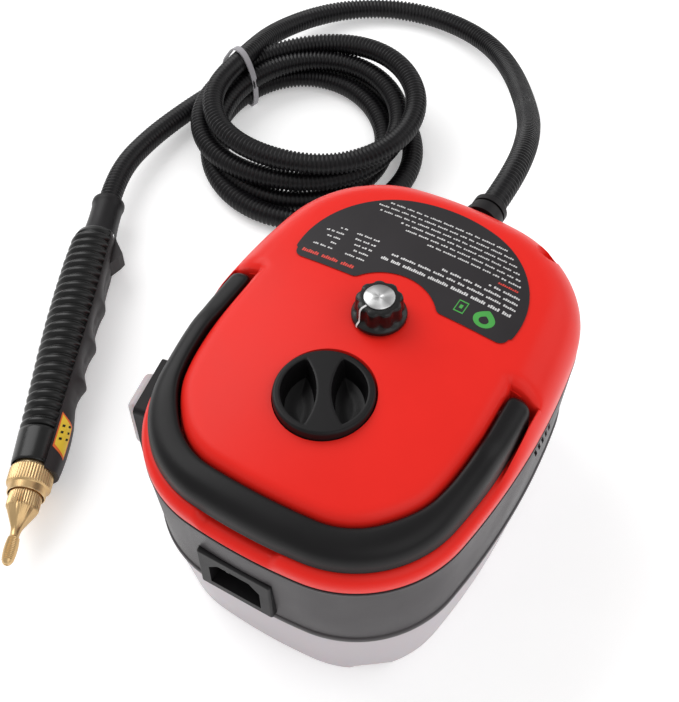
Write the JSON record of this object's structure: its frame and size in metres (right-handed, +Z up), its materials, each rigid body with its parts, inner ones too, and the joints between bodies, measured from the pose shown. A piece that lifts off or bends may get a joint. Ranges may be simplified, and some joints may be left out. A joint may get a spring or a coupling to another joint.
{
  "type": "canister steam cleaner",
  "caption": "Portable canister steam cleaner with a domed cover, folding carry handle, filler cap, steam knob, and a brass-nozzled steam gun on a coiled corrugated hose.",
  "frame": {"origin": "middle of the tank's foot, on the surface it stands on", "axes": "+Z up, -Y the front with the mains inlet, +Y the rear with the hose, +X to the right seen from the front"},
  "size_m": [0.3032, 0.4461, 0.13],
  "materials": {
    "tank_plastic": "translucent satin",
    "housing_grey": "fine matte",
    "cover_red": "glossy",
    "charcoal_plastic": "satin",
    "gun_charcoal": "satin",
    "black_plastic": "matte",
    "black_gloss": "glossy",
    "label_dark": "printed skin",
    "rubber_black": "matte",
    "neck_plastic": "matte",
    "rocker_red": "glossy",
    "boot_clear": "translucent silicone",
    "hose_black": "satin corrugated",
    "tie_grey": "matte",
    "tube_silicone": "matte",
    "sticker_yellow": "printed",
    "board_green": "matte",
    "steel": "plain",
    "spun_aluminium": "spun",
    "cast_aluminium": "cast",
    "copper": "lacquered windings",
    "brass": "machined"
  },
  "bodies": {
    "body": {"water_tank": "tank_plastic", "tank_gasket": "rubber_black", "mid_housing": "housing_grey", "housing_floor": "housing_grey", "top_cover": "cover_red", "label_plate": "label_dark", "handle_pins": "steel", "filler_neck": "neck_plastic", "potentiometer": "steel", "pot_nut": "steel", "inlet_socket": "black_plastic", "inlet_pins": "steel", "switch_housing": "black_plastic", "switch_body": "black_plastic", "switch_boot": "boot_clear", "switch_terminals": "brass", "pump_coil": "copper", "pump_barrel": "brass", "pump_spring": "steel", "pump_bracket": "steel", "heater_block": "cast_aluminium", "heater_elements": "steel", "heater_standoffs": "steel", "thermostat": "black_plastic", "thermal_fuse": "black_plastic", "relief_valve": "brass", "control_board": "board_green", "board_parts": "black_plastic", "suction_tube": "tube_silicone", "feed_tube": "tube_silicone", "steam_tube": "tube_silicone", "suction_filter": "neck_plastic", "hose_gland": "black_plastic", "gland_nut": "black_plastic", "hose_near": "hose_black", "hose_lead": "hose_black", "hose_coil": "hose_black", "cable_tie": "tie_grey", "gun_grip_back": "black_gloss", "gun_grip_front": "gun_charcoal", "gun_sticker": "sticker_yellow", "gun_boot": "gun_charcoal", "trigger_pin": "steel", "micro_switch": "black_plastic", "gun_steam_pipe": "brass", "housing_screws": "steel"},
    "handle": {"carry_handle": "charcoal_plastic"},
    "cap_carrier": {"filler_cap_gasket": "rubber_black"},
    "cap": {"filler_cap": "charcoal_plastic"},
    "knob": {"steam_knob": "black_gloss", "knob_disc": "spun_aluminium", "pot_shaft": "steel"},
    "rocker": {"switch_rocker": "rocker_red"},
    "trigger": {"gun_trigger": "gun_charcoal"},
    "nozzle_body": {"nozzle": "brass", "nozzle_seal": "rubber_black"},
    "collar": {"nozzle_collar": "brass"},
    "piston": {"pump_piston": "steel"}
  },
  "joints": [
    {"name": "handle_lift", "type": "hinge", "parent": "body", "child": "handle", "pos_m": [0, 0.002, 0.1024], "axis": [-1, 0, 0], "range_deg": [0, 88]},
    {"name": "cap_lift", "type": "slide", "parent": "body", "child": "cap_carrier", "axis": [0, 0, 1], "range_m": [0, 0.01]},
    {"name": "cap_turn", "type": "hinge", "parent": "cap_carrier", "child": "cap", "pos_m": [0, -0.0325, 0.11], "axis": [0, 0, 1], "range_deg": [0, 900]},
    {"name": "knob_turn", "type": "hinge", "parent": "body", "child": "knob", "pos_m": [0, 0.01, 0.12], "axis": [0, 0, 1], "range_deg": [-140, 140]},
    {"name": "power_rocker", "type": "hinge", "parent": "body", "child": "rocker", "pos_m": [-0.08166, -0.04362, 0.0575], "axis": [0.1736, -0.9848, 0], "range_deg": [-7, 7]},
    {"name": "trigger_pull", "type": "hinge", "parent": "body", "child": "trigger", "pos_m": [-0.18754, 0.05442, 0.0145], "axis": [0, 0, -1], "range_deg": [0, 7], "stiffness_Nm_per_rad": 0.05, "springref_deg": -5.73},
    {"name": "nozzle_slide", "type": "slide", "parent": "body", "child": "nozzle_body", "axis": [0.4333, -0.9012, 0], "range_m": [0, 0.008]},
    {"name": "collar_turn", "type": "hinge", "parent": "nozzle_body", "child": "collar", "pos_m": [-0.131, -0.08372, 0.0145], "axis": [0.4333, -0.9012, 0], "range_deg": [0, 1440]},
    {"name": "pump_stroke", "type": "slide", "parent": "body", "child": "piston", "axis": [0, 0, 1], "range_m": [-0.003, 0.003], "stiffness_N_per_m": 1500, "deforming": ["pump_spring"]}
  ],
  "couplings": [
    {"joint": "cap_turn", "follows": "cap_lift", "rad_per_m": 1570.8},
    {"joint": "collar_turn", "follows": "nozzle_slide", "rad_per_m": 3141.6}
  ]
}
